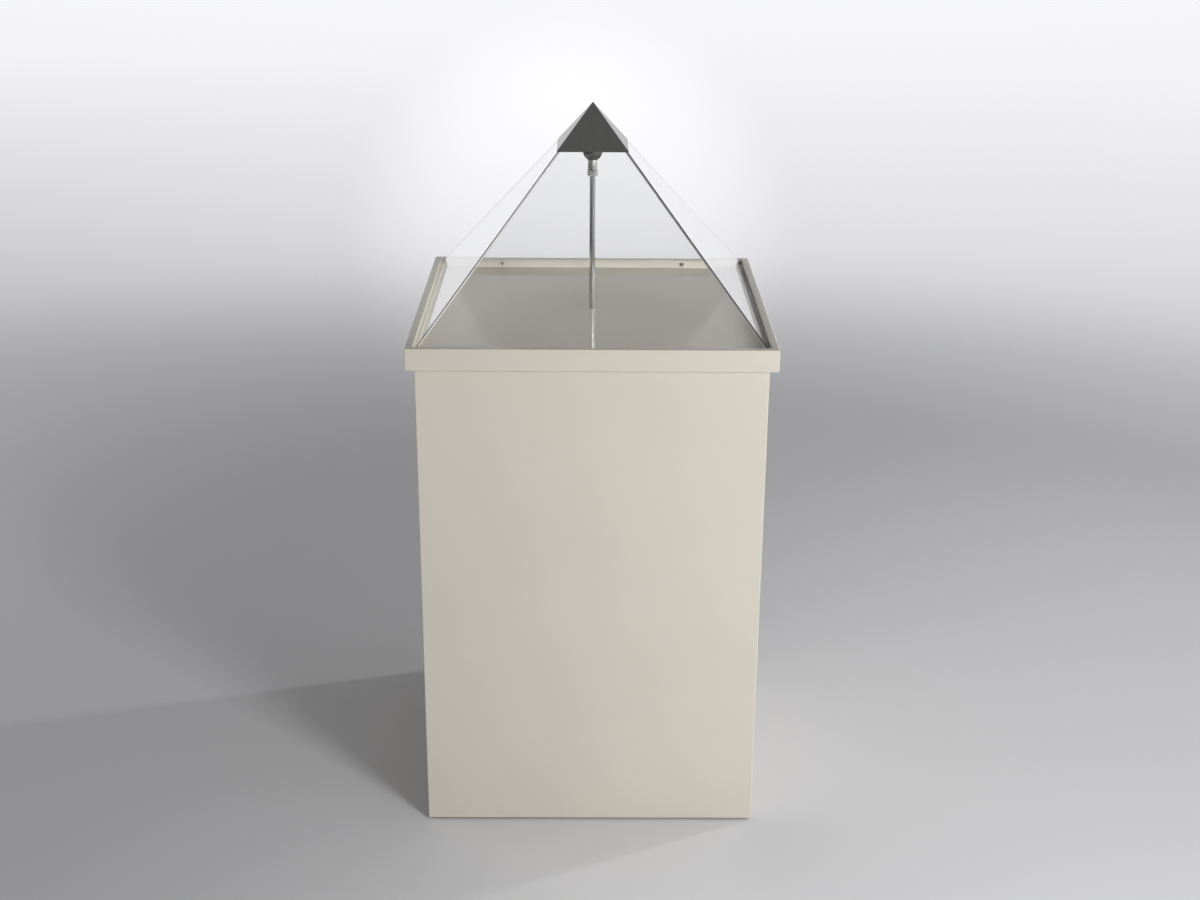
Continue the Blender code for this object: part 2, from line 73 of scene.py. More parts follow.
# Soft panels of light. Fills stay out of polished surfaces, the others are mirrored there.
Panel = namedtuple("Panel", "name place target width height power is_mirrored")
PANELS = (
    Panel(
        name="front_lamp",
        place=(1.30, -2.10, 1.58),
        target=(0.0, 0.0, 0.85),
        width=0.5,
        height=0.45,
        power=24.0,
        is_mirrored=True,
    ),
    Panel(
        name="low_fill",
        place=(1.30, -2.25, 0.75),
        target=(0.0, 0.0, 0.55),
        width=0.7,
        height=0.9,
        power=14.5,
        is_mirrored=False,
    ),
    Panel(
        name="side_panel",
        place=(2.6, 0.0, 1.85),
        target=(0.0, 0.0, 1.0),
        width=6.0,
        height=0.5,
        power=28.0,
        is_mirrored=True,
    ),
    Panel(
        name="fill_lamp",
        place=(0.9, -3.6, 0.6),
        target=(0.0, 0.0, 0.45),
        width=1.8,
        height=1.2,
        power=7.0,
        is_mirrored=False,
    ),
    Panel(
        name="left_fill",
        place=(-3.4, 1.1, 0.58),
        target=(0.0, 0.1, 0.42),
        width=1.6,
        height=0.5,
        power=24.0,
        is_mirrored=False,
    ),
    Panel(
        name="cap_card",
        place=(0.0, -0.90, 2.62),
        target=(0.0, 0.0, 1.21),
        width=1.3,
        height=1.3,
        power=1.0,
        is_mirrored=True,
    ),
)

# Spot at the back right, which throws the long shadow
BACK_LAMP_PLACE = (3.9, 1.49, 1.96)
BACK_LAMP_TARGET = (-0.2, 0.1, 0.5)
BACK_LAMP_RADIUS = 0.10
BACK_LAMP_POWER = 140.0
BACK_LAMP_SPREAD = math.radians(60.0)
BACK_LAMP_BLEND = 1.0

# World: (height of the direction, brightness), gains by depth and side, and a glow behind the hood
WORLD_LEVELS = (
    (-1.0, 0.32),
    (-0.36, 0.36),
    (-0.29, 0.41),
    (-0.22, 0.53),
    (-0.13, 0.63),
    (0.0, 0.69),
    (0.10, 0.65),
    (0.20, 0.58),
    (0.25, 0.47),
    (0.30, 0.11),
    (0.48, 0.10),
    (1.0, 0.11),
)
WORLD_BLUE_GAIN = 1.03
WORLD_BACK_GAIN = 0.45
WORLD_RIGHT_GAIN = 0.55
WORLD_LOW_GAIN = 0.9
WORLD_LOW_START = -0.12
WORLD_LOW_END = -0.27
WORLD_LEAST = 0.1
WORLD_GLOW_AIM = (-0.01, 0.972, -0.235)
WORLD_GLOW_EDGE = math.cos(math.radians(8.0))
WORLD_GLOW_CORE = math.cos(math.radians(2.5))
WORLD_GLOW_GAIN = 0.26

# Finishes: the middle of a noise, how far tone and sheen drift over it, and tints
NOISE_LOW = 0.30
NOISE_HIGH = 0.70
PAINT_DRIFT = (0.96, 1.03)
PAINT_SHEEN = (0.88, 1.12)
METAL_DRIFT = (0.92, 1.05)
GRAIN_DRIFT = (0.8, 1.2)
METAL_EDGE_TINT = (0.75, 0.75, 0.75, 1.0)
# Mitres of the slanted sheets carry painted shade: dark along the outer edge for the dark line that
# refraction makes at the clear glued joint, pale further in
MITRE_PAINTED_SHADE = (0.08, 0.078, 0.075, 1.0)
MITRE_PALE = (0.52, 0.51, 0.50, 1.0)
MITRE_PALE_END = 0.40
MITRE_SHADE_START = 0.60

# Plinth and rim
BODY_EDGE_RADIUS = 0.002
RIM_EDGE_RADIUS = 0.002
MITRE_EDGE = 0.00025
INSERT_CLEARANCE = 0.0003
INSERT_FILLET = 0.0003
OVERCUT = 0.002
GLIDE_PIN_DIAMETER = 0.005

# Hood and cap
HOOD_RISE = 0.350
SHEET_EDGE = 0.0002
CAP_SHEET = 0.0012
CAP_FOLD_RADIUS = 0.0008
TIP_WELD = 0.00002
BLOCK_EDGE = 0.0008

# Post and its head
SPIGOT_DIAMETER = 0.008
BELL_FOOT_DIAMETER = 0.0176
BELL_LIP_HEIGHT = 0.007
BELL_CROWN = 0.0035
SLEEVE_COLLAR_HEIGHT = 0.017
SLEEVE_TAIL_DIAMETER = 0.013
BORE_DIAMETER = 0.0106

# Small gaps, edges and facets
GAP = 0.0003
SMALL_FILLET = 0.0007
HARDWARE_EDGE = 0.00025
EDGE_SEGMENTS = 3
BEVEL_ANGLE = math.radians(35.0)
SHARP_ANGLE = math.radians(35.0)
FLAT_ANGLE = math.radians(1.0)
FLAT_WEIGHT = 100
WELD_DISTANCE = 0.000005
SCREW_MERGE = 0.00001
TURNED_STEPS = 96
FILLET_STEPS = 5
FILLET_SHARE = 0.45
BELL_ARC_STEPS = 24


# Building blocks of the materials


def new_material(name):
    """A node material, with its tree and its main shader."""
    material = bpy.data.materials.new(name)
    material.use_nodes = True
    tree = material.node_tree
    return material, tree, tree.nodes["Principled BSDF"]


def add_node(tree, kind, **settings):
    """A shader node, with its sockets and its other settings given by name."""
    node = tree.nodes.new(kind)
    for key, value in settings.items():
        if key in node.inputs:
            node.inputs[key].default_value = value
        else:
            setattr(node, key, value)
    return node


def set_shader(shader, **values):
    """Sets a shader's sockets, named with _ for each space."""
    for key, value in values.items():
        shader.inputs[key.replace("_", " ")].default_value = value


def calculate(tree, operation, *terms):
    """The result of a math node on output sockets and plain numbers."""
    node = add_node(tree, "ShaderNodeMath", operation=operation)
    for socket, term in zip(node.inputs, terms):
        if isinstance(term, bpy.types.NodeSocket):
            tree.links.new(term, socket)
        else:
            socket.default_value = term
    return node.outputs["Value"]


def map_range(tree, value, start, end, low=0.0, high=1.0, interpolation="LINEAR"):
    """A value mapped from start and end onto low and high, and held there beyond them."""
    node = add_node(tree, "ShaderNodeMapRange", interpolation_type=interpolation)
    node.inputs["From Min"].default_value = start
    node.inputs["From Max"].default_value = end
    node.inputs["To Min"].default_value = low
    node.inputs["To Max"].default_value = high
    tree.links.new(value, node.inputs["Value"])
    return node.outputs["Result"]


def split_axes(tree, vector):
    """The x, y and z sockets of a vector socket."""
    axes = add_node(tree, "ShaderNodeSeparateXYZ")
    tree.links.new(vector, axes.inputs["Vector"])
    return axes.outputs["X"], axes.outputs["Y"], axes.outputs["Z"]


def noise(tree, scale, detail=2.0, stretch=(1.0, 1.0, 1.0)):
    """Noise in the object's own space. Stretch multiplies the coordinates."""
    place = add_node(tree, "ShaderNodeTexCoord")
    mapping = add_node(tree, "ShaderNodeMapping", Scale=stretch)
    texture = add_node(tree, "ShaderNodeTexNoise", Scale=scale, Detail=detail)
    tree.links.new(place.outputs["Object"], mapping.inputs["Vector"])
    tree.links.new(mapping.outputs["Vector"], texture.inputs["Vector"])
    return texture.outputs["Fac"]


def ramp(tree, factor, stops):
    """Colours over a factor, from (position, colour) stops."""
    node = add_node(tree, "ShaderNodeValToRGB")
    elements = node.color_ramp.elements
    while len(elements) < len(stops):
        elements.new(position=0.5)
    for element, (position, colour) in zip(elements, stops):
        element.position = position
        element.color = colour
    tree.links.new(factor, node.inputs["Fac"])
    return node.outputs["Color"]


def spread(tree, factor, low, high):
    """Maps the middle of a noise onto a range."""
    return map_range(tree, factor, NOISE_LOW, NOISE_HIGH, low, high)


def colour_by(tree, shader, factor, *stops):
    """Colours the surface over a factor, from (position, colour) stops."""
    tree.links.new(ramp(tree, factor, stops), shader.inputs["Base Color"])


def drift_colour(tree, shader, factor, colour, drift):
    """Lets a colour drift darker and paler over the middle of a noise."""
    dark, pale = (shade(colour, share) for share in drift)
    colour_by(tree, shader, factor, (NOISE_LOW, dark), (NOISE_HIGH, pale))


def shade(colour, factor):
    """A colour made darker or paler, as an opaque socket value."""
    return (colour[0] * factor, colour[1] * factor, colour[2] * factor, 1.0)


def add_bump(tree, shader, height, distance):
    """Raises the surface by a height socket."""
    node = add_node(tree, "ShaderNodeBump", Distance=distance, Strength=1.0)
    tree.links.new(height, node.inputs["Height"])
    tree.links.new(node.outputs["Normal"], shader.inputs["Normal"])


def mix_clear(tree, shader, factor, tint):
    """Shows the shader where the factor is 0, and lets light straight through where it is 1."""
    clear = add_node(tree, "ShaderNodeBsdfTransparent", Color=tint)
    mix = add_node(tree, "ShaderNodeMixShader")
    tree.links.new(factor, mix.inputs[0])
    tree.links.new(shader.outputs["BSDF"], mix.inputs[1])
    tree.links.new(clear.outputs["BSDF"], mix.inputs[2])
    tree.links.new(mix.outputs["Shader"], tree.nodes["Material Output"].inputs["Surface"])


def paint(name, colour, roughness, peel):
    """Rolled paint: a slow drift in tone, uneven sheen and a fine orange peel."""
    material, tree, shader = new_material(name)
    drift_colour(tree, shader, noise(tree, scale=2.4, detail=4.0), colour, PAINT_DRIFT)
    smooth, rough = (roughness * share for share in PAINT_SHEEN)
    sheen = spread(tree, noise(tree, scale=14.0, detail=4.0), smooth, rough)
    tree.links.new(sheen, shader.inputs["Roughness"])
    add_bump(tree, shader, noise(tree, scale=380.0), peel)
    return material


def board(name):
    """Raw fibreboard with its fine speckle."""
    material, tree, shader = new_material(name)
    speckle = noise(tree, scale=260.0, detail=4.0)
    dark = (0.36, 0.24, 0.14, 1.0)
    pale = (0.46, 0.32, 0.20, 1.0)
    colour_by(tree, shader, speckle, (NOISE_LOW, dark), (NOISE_HIGH, pale))
    set_shader(shader, Roughness=0.85)
    add_bump(tree, shader, speckle, distance=0.0002)
    return material


def softwood(name, grain):
    """Planed softwood. Grain is the stretch of the noise, small along the length."""
    material, tree, shader = new_material(name)
    rings = noise(tree, scale=60.0, detail=3.0, stretch=grain)
    late_wood = (0.28, (0.40, 0.24, 0.11, 1.0))
    early_wood = (0.45, (0.60, 0.42, 0.23, 1.0))
    pale_wood = (0.75, (0.68, 0.50, 0.30, 1.0))
    colour_by(tree, shader, rings, late_wood, early_wood, pale_wood)
    set_shader(shader, Roughness=0.7)
    add_bump(tree, shader, rings, distance=0.0003)
    return material


def metal(name, colour, roughness, stretch=(1.0, 1.0, 1.0), scale=120.0):
    """Plated or polished metal, uneven in tone and within a range of roughness."""
    material, tree, shader = new_material(name)
    set_shader(shader, Metallic=1.0, Specular_Tint=METAL_EDGE_TINT)
    streaks = noise(tree, scale, detail=4.0, stretch=stretch)
    drift_colour(tree, shader, streaks, colour, METAL_DRIFT)
    tree.links.new(spread(tree, streaks, *roughness), shader.inputs["Roughness"])
    return material


def moulded(name, colour, roughness, grain_scale, grain_height):
    """Plastic or rubber with a fine grain."""
    material, tree, shader = new_material(name)
    grain = noise(tree, grain_scale, detail=3.0)
    drift_colour(tree, shader, grain, colour, GRAIN_DRIFT)
    set_shader(shader, Roughness=roughness)
    add_bump(tree, shader, grain, grain_height)
    return material


def acrylic(name):
    """Clear cast sheet that lets lamp light through, with faint wiping marks."""
    material, tree, shader = new_material(name)
    set_shader(shader, Base_Color=(0.992, 0.995, 0.993, 1.0), IOR=1.49, Transmission_Weight=1.0)
    wiping = noise(tree, scale=9.0, detail=5.0, stretch=(1.0, 1.0, 0.35))
    tree.links.new(spread(tree, wiping, low=0.0, high=0.012), shader.inputs["Roughness"])
    is_shadow = add_node(tree, "ShaderNodeLightPath").outputs["Is Shadow Ray"]
    mix_clear(tree, shader, is_shadow, tint=(0.960, 0.964, 0.962, 1.0))
    return material


def mitre_with_painted_shade(name, point, slope, sheet):
    """Mitre of the slanted sheets with painted shade: dark along its outer edge, standing for the dark
    line that refraction makes at the clear glued joint, and pale further in.

    The sheets' outer faces meet at the height point, and run out by slope for each unit down.
    """
    material, tree, shader = new_material(name)
    place = add_node(tree, "ShaderNodeTexCoord")
    x, _, z = split_axes(tree, place.outputs["Object"])
    reach = calculate(tree, "MULTIPLY_ADD", z, slope, calculate(tree, "ABSOLUTE", x))
    outer_face = point * slope
    inner_face = outer_face - sheet * math.hypot(1.0, slope)
    depth = map_range(tree, reach, inner_face, outer_face)
    # Painted shade: dark towards the sheets' outer face, pale towards the inner one
    colour_by(tree, shader, depth, (MITRE_PALE_END, MITRE_PALE), (MITRE_SHADE_START, MITRE_PAINTED_SHADE))
    set_shader(shader, Roughness=0.55)
    add_bump(tree, shader, noise(tree, scale=500.0, detail=3.0), distance=0.00004)
    return material


# The finishes themselves
CREAM_PAINT = paint("cream_paint", (0.640, 0.602, 0.520), roughness=0.16, peel=0.00002)
DECK_PAINT = paint("taupe_paint", (0.45, 0.42, 0.363), roughness=0.07, peel=0.000005)
FIBREBOARD = board("raw_fibreboard")
UPRIGHT_WOOD = softwood("softwood_upright", grain=(1.0, 1.0, 0.04))
ACROSS_WOOD = softwood("softwood_across", grain=(0.04, 1.0, 1.0))
DEEP_WOOD = softwood("softwood_deep", grain=(1.0, 0.04, 1.0))
CHROME = metal("polished_chrome", (0.60, 0.60, 0.59), roughness=(0.10, 0.15), stretch=(1.0, 1.0, 0.1))
NICKEL = metal(
    "satin_nickel", (0.66, 0.64, 0.60), roughness=(0.22, 0.32), stretch=(0.15, 0.15, 1.0), scale=900.0
)
DARK_METAL = metal("dark_polished_metal", (0.285, 0.292, 0.270), roughness=(0.10, 0.18))
ZINC = metal("zinc_plate", (0.50, 0.50, 0.48), roughness=(0.28, 0.42))
DULL_ZINC = metal("dull_zinc_plate", (0.30, 0.30, 0.29), roughness=(0.35, 0.5))
BRASS = metal("turned_brass", (0.60, 0.45, 0.20), roughness=(0.25, 0.38))
NYLON = moulded(
    "black_nylon", (0.03, 0.03, 0.03), roughness=0.5, grain_scale=600.0, grain_height=0.00004
)
RUBBER = moulded(
    "black_rubber", (0.025, 0.025, 0.025), roughness=0.75, grain_scale=900.0, grain_height=0.00006
)
BLACK_ACRYLIC = moulded(
    "black_acrylic", (0.015, 0.015, 0.015), roughness=0.2, grain_scale=200.0, grain_height=0.00001
)
CLEAR_ACRYLIC = acrylic("clear_acrylic_sheet")
SAWN_ACRYLIC = moulded(
    "sawn_acrylic_edge", (0.30, 0.29, 0.28), roughness=0.55, grain_scale=500.0, grain_height=0.00004
)


# Studio


def link_object(name, data):
    """A new object in the scene."""
    obj = bpy.data.objects.new(name, data)
    scene.collection.objects.link(obj)
    return obj


def mesh_from(bm, name):
    """A mesh of what a bmesh holds. The bmesh is freed."""
    mesh = bpy.data.meshes.new(name)
    bm.to_mesh(mesh)
    bm.free()
    return mesh


def make_camera():
    """The photograph's viewpoint and framing."""
    data = bpy.data.cameras.new("camera")
    data.sensor_fit = "HORIZONTAL"
    data.sensor_width = SENSOR_WIDTH
    data.lens = CAMERA_FOCAL_PIXELS / PHOTO_WIDTH_PIXELS * SENSOR_WIDTH
    camera = link_object("camera", data)
    turn = Matrix.Rotation(-CAMERA_YAW, 4, "Z")
    tilt = Matrix.Rotation(math.pi / 2.0 - CAMERA_PITCH, 4, "X")
    roll = Matrix.Rotation(CAMERA_ROLL, 4, "Z")
    camera.matrix_world = Matrix.Translation(CAMERA_PLACE) @ turn @ tilt @ roll
    scene.camera = camera


def place_lamp(data, place, target):
    """Hangs a lamp aimed at a target, unseen by the camera itself."""
    lamp = link_object(data.name, data)
    lamp.location = place
    lamp.rotation_euler = (Vector(target) - Vector(place)).to_track_quat("-Z", "Y").to_euler()
    lamp.visible_camera = False
    return lamp


def make_lamps():
    """The soft panels and the spot. A fill is hidden from mirrors, also from those behind the sheets."""
    for panel in PANELS:
        data = bpy.data.lights.new(panel.name, "AREA")
        data.shape = "RECTANGLE"
        data.size = panel.width
        data.size_y = panel.height
        data.energy = panel.power
        lamp = place_lamp(data, panel.place, panel.target)
        if not panel.is_mirrored:
            lamp.visible_glossy = False
            lamp.visible_transmission = False
    back = bpy.data.lights.new("back_lamp", "SPOT")
    back.shadow_soft_size = BACK_LAMP_RADIUS
    back.energy = BACK_LAMP_POWER
    back.spot_size = BACK_LAMP_SPREAD
    back.spot_blend = BACK_LAMP_BLEND
    place_lamp(back, BACK_LAMP_PLACE, BACK_LAMP_TARGET)


def make_world():
    """A pale world, bright about the horizon and at the back, and dim high up and low on the left."""
    world = bpy.data.worlds.new("studio")
    scene.world = world
    world.use_nodes = True
    tree = world.node_tree
    direction = add_node(tree, "ShaderNodeTexCoord").outputs["Generated"]
    x, y, z = split_axes(tree, direction)
    stops = []
    for rise, level in WORLD_LEVELS:
        stops.append(((rise + 1.0) / 2.0, (level, level, level * WORLD_BLUE_GAIN, 1.0)))
    colour = ramp(tree, map_range(tree, z, -1.0, 1.0), stops)
    background = tree.nodes["Background"]
    tree.links.new(colour, background.inputs["Color"])
    tree.links.new(world_strength(tree, direction, x, y, z), background.inputs["Strength"])


def world_strength(tree, direction, x, y, z):
    """Gain by direction: by depth, by side towards the front, low on the left, and the glow."""
    strength = calculate(tree, "MULTIPLY_ADD", y, WORLD_BACK_GAIN, 1.0)
    front_share = map_range(tree, y, 1.0, -1.0)
    front_side = calculate(tree, "MULTIPLY", x, front_share)
    strength = calculate(tree, "MULTIPLY_ADD", front_side, WORLD_RIGHT_GAIN, strength)
    left_side = calculate(tree, "MINIMUM", x, 0.0)
    low_gain = map_range(tree, z, WORLD_LOW_START, WORLD_LOW_END, high=WORLD_LOW_GAIN)
    strength = calculate(tree, "MULTIPLY_ADD", left_side, low_gain, strength)
    aim = add_node(tree, "ShaderNodeVectorMath", operation="DOT_PRODUCT")
    aim.inputs[1].default_value = WORLD_GLOW_AIM
    tree.links.new(direction, aim.inputs[0])
    glow = map_range(
        tree,
        aim.outputs["Value"],
        WORLD_GLOW_EDGE,
        WORLD_GLOW_CORE,
        high=WORLD_GLOW_GAIN,
        interpolation="SMOOTHSTEP",
    )
    strength = calculate(tree, "ADD", strength, glow)
    return calculate(tree, "MAXIMUM", strength, WORLD_LEAST)


def make_floor():
    """A pale round floor that turns clear further out."""
    bm = bmesh.new()
    bmesh.ops.create_circle(bm, cap_ends=True, radius=FLOOR_RADIUS, segments=FLOOR_SEGMENTS)
    floor = link_object("floor", mesh_from(bm, "floor"))
    material, tree, shader = new_material("pale_floor")
    set_shader(shader, Base_Color=FLOOR_COLOUR, Roughness=0.6)
    place = add_node(tree, "ShaderNodeTexCoord")
    distance = add_node(tree, "ShaderNodeVectorMath", operation="LENGTH")
    tree.links.new(place.outputs["Object"], distance.inputs[0])
    fade = map_range(
        tree,
        distance.outputs["Value"],
        FLOOR_FADE_START,
        FLOOR_FADE_END,
        interpolation="SMOOTHSTEP",
    )
    mix_clear(tree, shader, fade, tint=WHITE)
    floor.data.materials.append(material)


# Building blocks of the pieces


def add_piece(name, mesh, materials, body, replaced):
    """A piece that stands for CAD nodes and moves with a body. Materials go on a mesh that has none."""
    piece = link_object(name, mesh)
    if not piece.data.materials:
        for material in materials:
            piece.data.materials.append(material)
    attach(piece, body)
    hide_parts(*replaced)
    return piece


def baked_mesh(obj, name):
    """The object's mesh with its modifiers applied. The object itself is removed."""
    graph = bpy.context.evaluated_depsgraph_get()
    mesh = bpy.data.meshes.new_from_object(obj.evaluated_get(graph))
    mesh.name = name
    bpy.data.objects.remove(obj)
    return mesh


def smooth_mesh(mesh):
    """Shades a mesh smooth, apart from its sharp edges."""
    mesh.shade_smooth()
    mesh.set_sharp_from_angle(angle=SHARP_ANGLE)
    return mesh


def thicken(obj, sheet):
    """Gives an open surface a wall on its inner side."""
    wall = obj.modifiers.new("wall", "SOLIDIFY")
    wall.thickness = sheet
    wall.offset = -1.0
    wall.use_even_offset = True


def round_edges(obj, width, segments=EDGE_SEGMENTS):
    """Rounds the sharp edges."""
    bevel = obj.modifiers.new("edges", "BEVEL")
    bevel.width = width
    bevel.segments = segments
    bevel.limit_method = "ANGLE"
    bevel.angle_limit = BEVEL_ANGLE


def keep_flats(obj):
    """Shades by the larger faces, so that the flats stay flat beside rounded edges."""
    weights = obj.modifiers.new("flats", "WEIGHTED_NORMAL")
    weights.weight = FLAT_WEIGHT
    weights.keep_sharp = True


def ease_edges(obj, width, segments=EDGE_SEGMENTS):
    """Rounds the edges and keeps the flat faces beside them shaded flat."""
    round_edges(obj, width, segments)
    keep_flats(obj)


def square_tube(name, rings, wall):
    """An open square tube through (half width, height) rings, thickened inwards."""
    bm = bmesh.new()
    loops = []
    for half, height in rings:
        corners = ((-half, -half), (half, -half), (half, half), (-half, half))
        loops.append([bm.verts.new((x, y, height)) for x, y in corners])
    for lower, upper in zip(loops, loops[1:]):
        for turn in range(len(lower)):
            after = (turn + 1) % len(lower)
            bm.faces.new((lower[turn], lower[after], upper[after], upper[turn]))
    mesh = mesh_from(bm, name)
    mesh.shade_smooth()
    tube = link_object(name, mesh)
    thicken(tube, wall)
    return tube


def fillet(profile, radius):
    """Rounds the inner corners of a profile of (radius, z) points with curves."""
    rounded = [profile[0]]
    for before, corner, after in zip(profile, profile[1:], profile[2:]):
        here = Vector(corner)
        back = Vector(before) - here
        ahead = Vector(after) - here
        half_angle = back.angle(ahead) / 2.0
        most = FILLET_SHARE * min(back.length, ahead.length)
        reach = min(radius / math.tan(half_angle), most)
        start = here + back.normalized() * reach
        end = here + ahead.normalized() * reach
        for step in range(FILLET_STEPS + 1):
            share = step / FILLET_STEPS
            first = start.lerp(here, share)
            second = here.lerp(end, share)
            rounded.append(tuple(first.lerp(second, share)))
    return rounded + [profile[-1]]


def turned_mesh(name, profile, is_ring=False):
    """Turns a profile of (radius, z) points about Z. A ring's profile closes on itself."""
    bm = bmesh.new()
    verts = [bm.verts.new((radius, 0.0, height)) for radius, height in profile]
    followers = verts[1:] + verts[:1] if is_ring else verts[1:]
    for first, second in zip(verts, followers):
        bm.edges.new((first, second))
    obj = link_object(name, mesh_from(bm, name))
    screw = obj.modifiers.new("turn", "SCREW")
    screw.axis = "Z"
    screw.steps = TURNED_STEPS
    screw.render_steps = TURNED_STEPS
    screw.use_merge_vertices = True
    screw.merge_threshold = SCREW_MERGE
    return smooth_mesh(baked_mesh(obj, name))


def cut_plane(bm, place, normal, cut_material):
    """Cuts away what lies beyond a plane and closes the cut."""
    bmesh.ops.bisect_plane(
        bm,
        geom=bm.verts[:] + bm.edges[:] + bm.faces[:],
        plane_co=place,
        plane_no=normal,
        clear_outer=True,
    )
    edges = [edge for edge in bm.edges if edge.is_boundary]
    for face in bmesh.ops.holes_fill(bm, edges=edges, sides=0)["faces"]:
        face.material_index = cut_material


def mitred_side(form_mesh, name, side, levels=(), cut_material=0):
    """One side of a square form, cut out on the diagonals with a hairline between the sides.

    Levels are (height, direction) pairs that trim the side flat at the top and bottom.
    """
    bm = bmesh.new()
    bm.from_mesh(form_mesh)
    turn = Matrix.Rotation(SIDES.index(side) * math.pi / 2.0, 3, "Z")
    for across in (-1.0, 1.0):
        place = turn @ Vector((0.0, -GAP / math.sqrt(2.0), 0.0))
        cut_plane(bm, place, turn @ Vector((across, 1.0, 0.0)), cut_material)
    for height, direction in levels:
        cut_plane(bm, (0.0, 0.0, height), (0.0, 0.0, direction), 0)
    return mesh_from(bm, name)


# Pieces


def make_carcass():
    """The four filled and painted walls as one skin, raw on the inside."""
    low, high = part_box("wall_front")
    tube = square_tube("carcass_form", ((-low.y, low.z), (-low.y, high.z)), high.y - low.y)
    tube.modifiers["wall"].material_offset = 1
    tube.modifiers["wall"].material_offset_rim = 1
    tube.data.materials.append(CREAM_PAINT)
    tube.data.materials.append(FIBREBOARD)
    ease_edges(tube, BODY_EDGE_RADIUS)
    mesh = baked_mesh(tube, "painted_carcass")
    walls = [f"wall_{side}" for side in SIDES]
    add_piece("painted_carcass", mesh, (CREAM_PAINT, FIBREBOARD), "plinth", walls)


def with_insert_holes(mesh):
    """Bores the back strip of the rim for the threaded inserts."""
    strip = link_object("bored_strip", mesh)
    cutters = []
    for hand in HANDS:
        low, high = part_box(f"screw_insert_{hand}")
        radius = (high.x - low.x) / 2.0 + INSERT_CLEARANCE
        bm = bmesh.new()
        bmesh.ops.create_cone(
            bm,
            cap_ends=True,
            segments=TURNED_STEPS,
            radius1=radius,
            radius2=radius,
            depth=high.y - low.y + 2.0 * OVERCUT,
        )
        cutter = link_object(f"insert_cutter_{hand}", mesh_from(bm, f"insert_cutter_{hand}"))
        lay = Matrix.Rotation(math.pi / 2.0, 4, "X")
        cutter.matrix_world = Matrix.Translation((low + high) / 2.0) @ lay
        hole = strip.modifiers.new(cutter.name, "BOOLEAN")
        hole.object = cutter
        cutters.append(cutter)
    bpy.context.view_layer.update()
    bored = baked_mesh(strip, "painted_rim_back")
    for cutter in cutters:
        bpy.data.objects.remove(cutter)
    return bored


def make_rims():
    """Four mitred strips with rounded edges."""
    low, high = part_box("rim_front")
    tube = square_tube("rim_form", ((-low.y, low.z), (-low.y, high.z)), high.y - low.y)
    round_edges(tube, RIM_EDGE_RADIUS)
    form_mesh = baked_mesh(tube, "rim_form")
    for side in SIDES:
        name = f"painted_rim_{side}"
        mesh = mitred_side(form_mesh, name, side)
        if side == "back":
            mesh = with_insert_holes(mesh)
        piece = add_piece(name, mesh, (CREAM_PAINT,), "plinth", [f"rim_{side}"])
        ease_edges(piece, MITRE_EDGE, segments=1)


def make_cap():
    """Folded sheet over the tip, with softly rounded folds."""
    low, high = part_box("apex_cap")
    height = high.z - low.z
    bm = bmesh.new()
    bmesh.ops.create_cone(
        bm,
        cap_ends=False,
        segments=len(SIDES),
        radius1=high.x * math.sqrt(2.0),
        radius2=0.0,
        depth=height,
    )
    bmesh.ops.rotate(bm, matrix=Matrix.Rotation(math.pi / 4.0, 3, "Z"), verts=bm.verts)
    bmesh.ops.translate(bm, vec=(0.0, 0.0, low.z + height / 2.0), verts=bm.verts)
    mesh = mesh_from(bm, "folded_cap")
    mesh.shade_smooth()
    form = link_object("cap_form", mesh)
    thicken(form, CAP_SHEET)
    round_edges(form, CAP_FOLD_RADIUS)
    weld = form.modifiers.new("tip", "WELD")
    weld.merge_threshold = TIP_WELD
    keep_flats(form)
    mesh = baked_mesh(form, "folded_cap")
    add_piece("folded_cap", mesh, (DARK_METAL,), "hood", ["apex_cap"])


def make_post():
    """Post with a rounded end, standing on its shoulder with the spigot below."""
    low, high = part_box("post_rod")
    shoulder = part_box("deck_board")[1].z + GAP
    radius = high.x
    spigot_radius = SPIGOT_DIAMETER / 2.0
    profile = [
        (0.0, high.z),
        (radius, high.z),
        (radius, shoulder),
        (spigot_radius, shoulder),
        (spigot_radius, low.z),
        (0.0, low.z),
    ]
    mesh = turned_mesh("polished_post", fillet(profile, SMALL_FILLET))
    add_piece("polished_post", mesh, (CHROME,), "plinth", ["post_rod"])


def make_bell():
    """Bell with an upright lip and a round belly, bored for the sleeve and the post."""
    low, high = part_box("bell_seat")
    lip = high.x
    inset = lip - BELL_FOOT_DIAMETER / 2.0
    belly_top = high.z - BELL_LIP_HEIGHT
    drop = belly_top - low.z
    arc_radius = (inset**2 + drop**2) / (2.0 * inset)
    arc_end = math.asin(drop / arc_radius)
    profile = fillet([(0.0, high.z), (lip, high.z), (lip, belly_top)], SMALL_FILLET)
    for step in range(1, BELL_ARC_STEPS + 1):
        angle = arc_end * step / BELL_ARC_STEPS
        radius = lip - arc_radius * (1.0 - math.cos(angle))
        profile.append((radius, belly_top - arc_radius * math.sin(angle)))
    socket = SLEEVE_TAIL_DIAMETER / 2.0 + GAP
    socket_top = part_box("head_sleeve")[1].z + GAP
    bore = BORE_DIAMETER / 2.0
    bore_top = high.z - BELL_CROWN
    profile += [
        (socket, low.z),
        (socket, socket_top),
        (bore, socket_top),
        (bore, bore_top),
        (0.0, bore_top),
    ]
    mesh = turned_mesh("turned_bell", profile)
    add_piece("turned_bell", mesh, (DARK_METAL,), "post_head", ["bell_seat"])


